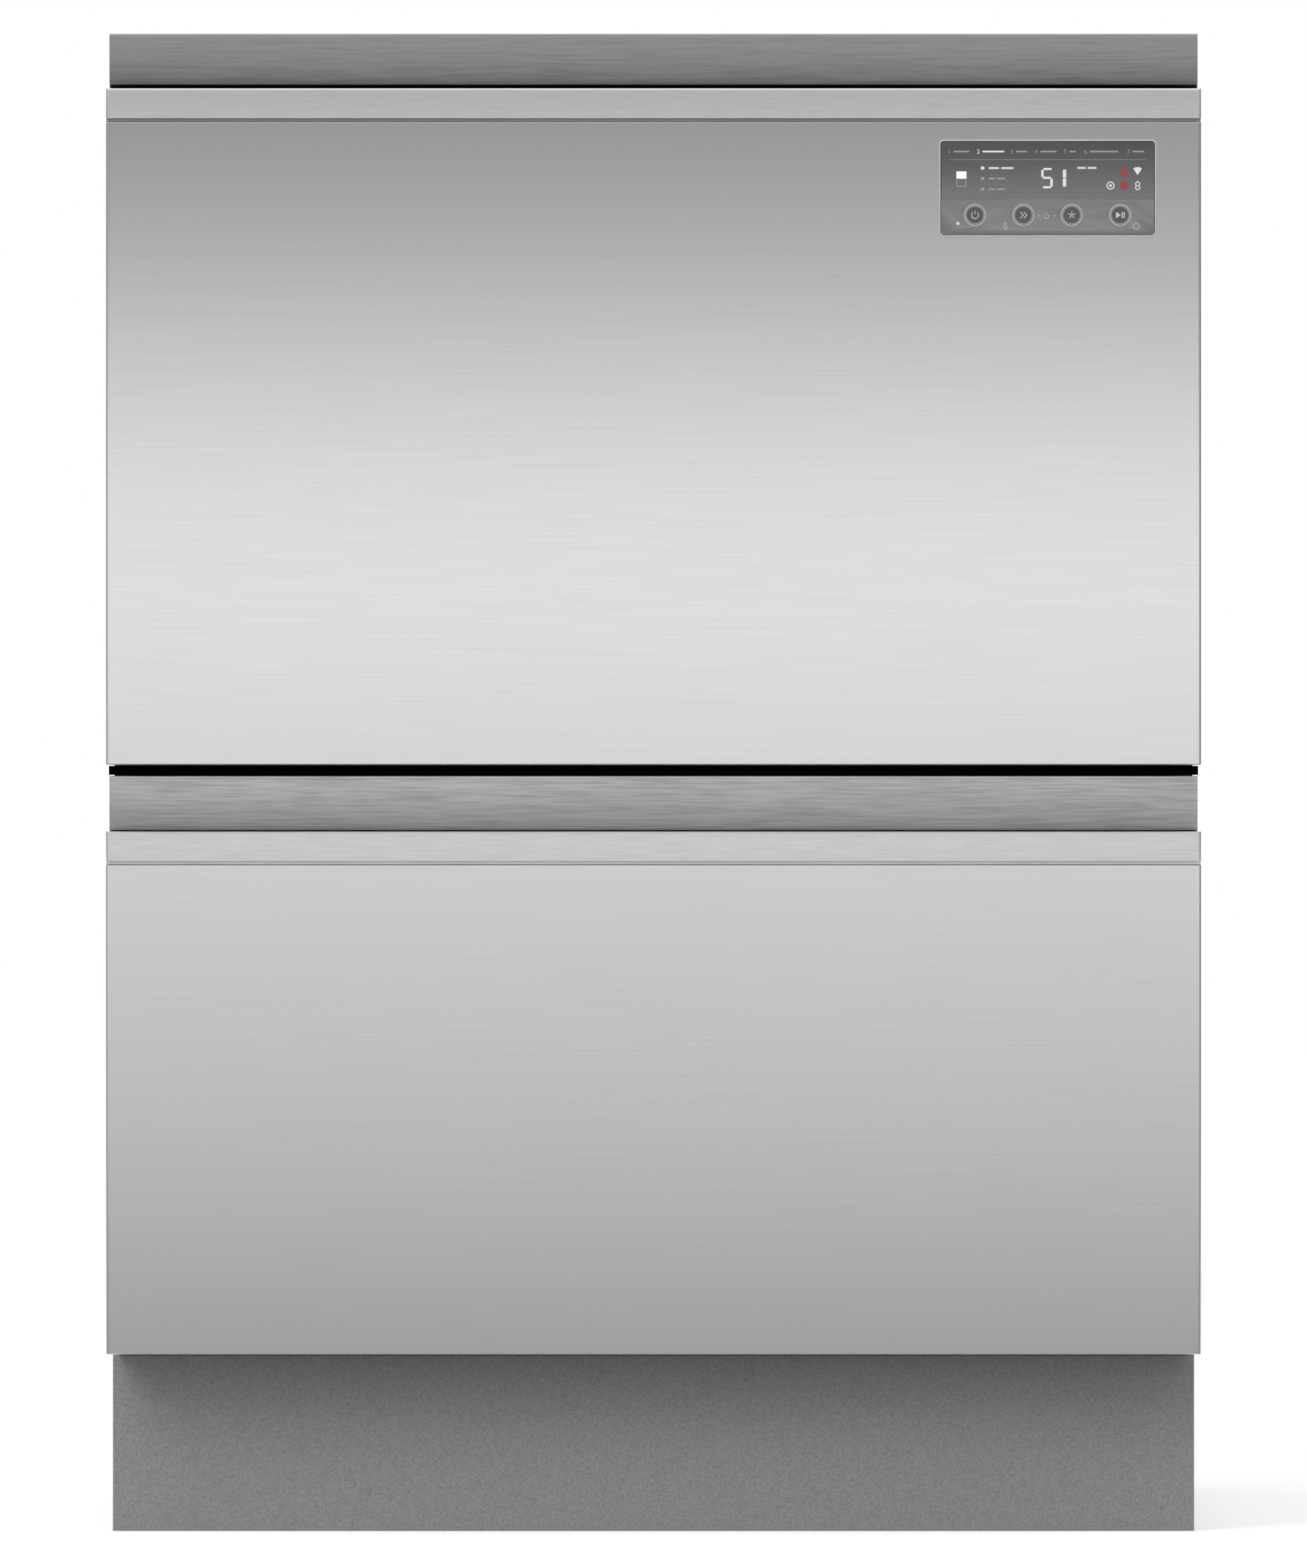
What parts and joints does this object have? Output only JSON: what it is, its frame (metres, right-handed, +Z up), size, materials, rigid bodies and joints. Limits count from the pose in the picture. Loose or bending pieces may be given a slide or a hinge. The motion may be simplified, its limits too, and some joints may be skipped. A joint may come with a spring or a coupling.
{
  "type": "dishwasher drawer",
  "caption": "Two-drawer dishwasher for building in: brushed steel drawer fronts with set-back grips, tubs on telescopic runners, drop-down lids and a toe kick.",
  "frame": {"origin": "on the floor, under the middle of the whole appliance with its feet screwed right in", "axes": "+X to the user's right, -Y out of the drawer fronts towards the user, +Z up"},
  "size_m": [0.599, 0.573, 0.8218],
  "materials": {
    "front_steel": "satin",
    "galvanised_steel": "satin",
    "runner_steel": "satin",
    "plinth_paint": "matte",
    "dark_plastic": "matte",
    "tub_plastic": "satin",
    "lid_plastic": "satin",
    "seal_rubber": "matte",
    "smoked_window": "gloss",
    "control_plastic": "satin",
    "button_plastic": "satin",
    "circuit_board": "satin",
    "motor_black": "satin",
    "filter_plastic": "satin",
    "spray_plastic": "satin",
    "coated_wire": "satin",
    "basket_plastic": "matte",
    "tray_plastic": "matte",
    "service_plastic": "satin"
  },
  "bodies": {
    "cabinet": {"left_side_panel": "galvanised_steel", "right_side_panel": "galvanised_steel", "rear_panel": "galvanised_steel", "top_panel": "galvanised_steel", "mid_shelf": "galvanised_steel", "toe_kick": "plinth_paint", "base_tray": "tray_plastic", "control_module": "service_plastic", "inlet_valve": "service_plastic", "upper_left_outer_rail": "runner_steel", "upper_right_outer_rail": "runner_steel", "upper_lid_actuator": "tray_plastic", "lower_left_outer_rail": "runner_steel", "lower_right_outer_rail": "runner_steel", "lower_lid_actuator": "tray_plastic"},
    "upper_drawer": {"upper_front_panel": "front_steel", "upper_handle_strip": "front_steel", "upper_grip_band": "front_steel", "upper_inner_front": "dark_plastic", "upper_tub": "tub_plastic", "upper_wash_motor": "motor_black", "upper_filter_plate": "filter_plastic", "upper_rack": "coated_wire", "upper_cutlery_basket": "basket_plastic", "upper_tub_cradle": "runner_steel", "display_window": "smoked_window", "button_strip": "control_plastic", "display_board": "circuit_board"},
    "upper_middle_rails": {"upper_left_middle_rail": "runner_steel", "upper_right_middle_rail": "runner_steel"},
    "upper_lid_body": {"upper_lid": "lid_plastic", "upper_lid_seal": "seal_rubber"},
    "upper_spray_arm_body": {"upper_spray_arm": "spray_plastic"},
    "upper_dispenser_lid_body": {"upper_dispenser_lid": "lid_plastic"},
    "upper_cup_rack_body": {"upper_cup_rack": "coated_wire"},
    "lower_drawer": {"lower_front_panel": "front_steel", "lower_handle_strip": "front_steel", "lower_grip_band": "front_steel", "lower_inner_front": "dark_plastic", "lower_tub": "tub_plastic", "lower_wash_motor": "motor_black", "lower_filter_plate": "filter_plastic", "lower_rack": "coated_wire", "lower_cutlery_basket": "basket_plastic", "lower_tub_cradle": "runner_steel"},
    "lower_middle_rails": {"lower_left_middle_rail": "runner_steel", "lower_right_middle_rail": "runner_steel"},
    "lower_lid_body": {"lower_lid": "lid_plastic", "lower_lid_seal": "seal_rubber"},
    "lower_spray_arm_body": {"lower_spray_arm": "spray_plastic"},
    "lower_dispenser_lid_body": {"lower_dispenser_lid": "lid_plastic"},
    "lower_cup_rack_body": {"lower_cup_rack": "coated_wire"},
    "power_button_body": {"power_button": "button_plastic"},
    "programme_button_body": {"programme_button": "button_plastic"},
    "option_button_body": {"option_button": "button_plastic"},
    "start_button_body": {"start_button": "button_plastic"},
    "front_left_foot_body": {"front_left_foot": "dark_plastic"},
    "front_right_foot_body": {"front_right_foot": "dark_plastic"},
    "rear_left_foot_body": {"rear_left_foot": "dark_plastic"},
    "rear_right_foot_body": {"rear_right_foot": "dark_plastic"}
  },
  "joints": [
    {"name": "upper_drawer_slide", "type": "slide", "parent": "cabinet", "child": "upper_drawer", "axis": [0, -1, 0], "range_m": [0, 0.5]},
    {"name": "upper_middle_rails_slide", "type": "slide", "parent": "cabinet", "child": "upper_middle_rails", "axis": [0, -1, 0], "range_m": [0, 0.25]},
    {"name": "upper_lid_drop", "type": "slide", "parent": "cabinet", "child": "upper_lid_body", "axis": [0, 0, -1], "range_m": [0, 0.01]},
    {"name": "upper_spray_arm_spin", "type": "hinge", "parent": "upper_drawer", "child": "upper_spray_arm_body", "pos_m": [0, -0.002, 0.4976], "axis": [0, 0, 1], "continuous": true},
    {"name": "upper_dispenser_lid_hinge", "type": "hinge", "parent": "upper_drawer", "child": "upper_dispenser_lid_body", "pos_m": [-0.022, -0.2237, 0.7018], "axis": [-1, 0, 0], "range_deg": [0, 90]},
    {"name": "upper_cup_rack_hinge", "type": "hinge", "parent": "upper_drawer", "child": "upper_cup_rack_body", "pos_m": [0.248, -0.002, 0.6568], "axis": [0, 1, 0], "range_deg": [0, 85]},
    {"name": "lower_drawer_slide", "type": "slide", "parent": "cabinet", "child": "lower_drawer", "axis": [0, -1, 0], "range_m": [0, 0.5]},
    {"name": "lower_middle_rails_slide", "type": "slide", "parent": "cabinet", "child": "lower_middle_rails", "axis": [0, -1, 0], "range_m": [0, 0.25]},
    {"name": "lower_lid_drop", "type": "slide", "parent": "cabinet", "child": "lower_lid_body", "axis": [0, 0, -1], "range_m": [0, 0.01]},
    {"name": "lower_spray_arm_spin", "type": "hinge", "parent": "lower_drawer", "child": "lower_spray_arm_body", "pos_m": [0, -0.002, 0.1754], "axis": [0, 0, 1], "continuous": true},
    {"name": "lower_dispenser_lid_hinge", "type": "hinge", "parent": "lower_drawer", "child": "lower_dispenser_lid_body", "pos_m": [-0.022, -0.2237, 0.2955], "axis": [-1, 0, 0], "range_deg": [0, 90]},
    {"name": "lower_cup_rack_hinge", "type": "hinge", "parent": "lower_drawer", "child": "lower_cup_rack_body", "pos_m": [0.248, -0.002, 0.2505], "axis": [0, 1, 0], "range_deg": [0, 85]},
    {"name": "power_button_press", "type": "slide", "parent": "upper_drawer", "child": "power_button_body", "axis": [0, 1, 0], "range_m": [0, 0.001], "stiffness_N_per_m": 1500},
    {"name": "programme_button_press", "type": "slide", "parent": "upper_drawer", "child": "programme_button_body", "axis": [0, 1, 0], "range_m": [0, 0.001], "stiffness_N_per_m": 1500},
    {"name": "option_button_press", "type": "slide", "parent": "upper_drawer", "child": "option_button_body", "axis": [0, 1, 0], "range_m": [0, 0.001], "stiffness_N_per_m": 1500},
    {"name": "start_button_press", "type": "slide", "parent": "upper_drawer", "child": "start_button_body", "axis": [0, 1, 0], "range_m": [0, 0.001], "stiffness_N_per_m": 1500},
    {"name": "front_left_foot_screw", "type": "slide", "parent": "cabinet", "child": "front_left_foot_body", "axis": [0, 0, -1], "range_m": [0, 0.06]},
    {"name": "front_right_foot_screw", "type": "slide", "parent": "cabinet", "child": "front_right_foot_body", "axis": [0, 0, -1], "range_m": [0, 0.06]},
    {"name": "rear_left_foot_screw", "type": "slide", "parent": "cabinet", "child": "rear_left_foot_body", "axis": [0, 0, -1], "range_m": [0, 0.06]},
    {"name": "rear_right_foot_screw", "type": "slide", "parent": "cabinet", "child": "rear_right_foot_body", "axis": [0, 0, -1], "range_m": [0, 0.06]}
  ],
  "couplings": [
    {"joint": "upper_middle_rails_slide", "follows": "upper_drawer_slide", "ratio": 0.5},
    {"joint": "lower_middle_rails_slide", "follows": "lower_drawer_slide", "ratio": 0.5}
  ]
}
